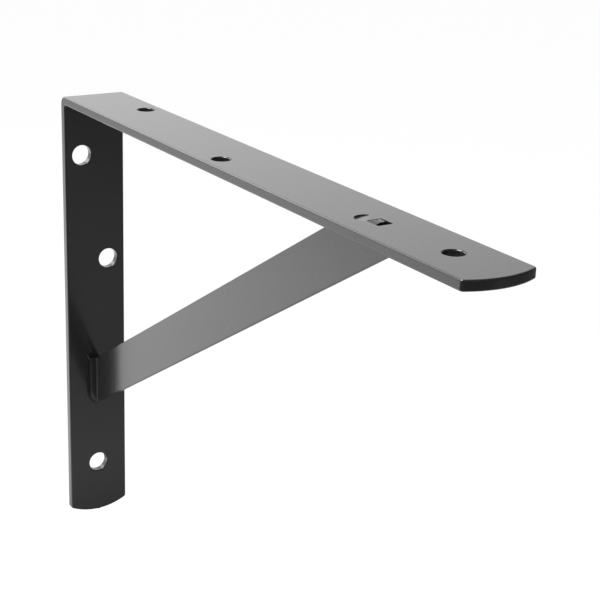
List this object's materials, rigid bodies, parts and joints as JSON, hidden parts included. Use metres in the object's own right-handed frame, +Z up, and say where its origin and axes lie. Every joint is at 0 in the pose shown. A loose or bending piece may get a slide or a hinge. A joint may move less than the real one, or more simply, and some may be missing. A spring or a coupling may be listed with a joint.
{
  "type": "shelf bracket",
  "caption": "Right-angled shelf bracket of folded flat bar with a diagonal strut from leg to leg and screw holes in both legs.",
  "frame": {"origin": "on the back of the wall leg, mid-way across the bar and level with the top wall screw", "axes": "+X out from the wall along the shelf leg, +Z up, towards the shelf, Y across the bar"},
  "size_m": [0.305, 0.03, 0.215],
  "materials": {
    "folded_bar": "satin black powder coat on steel",
    "diagonal_strut": "satin black powder coat on steel"
  },
  "bodies": {
    "root": {"folded_bar": "folded_bar", "diagonal_strut": "diagonal_strut"}
  },
  "joints": []
}
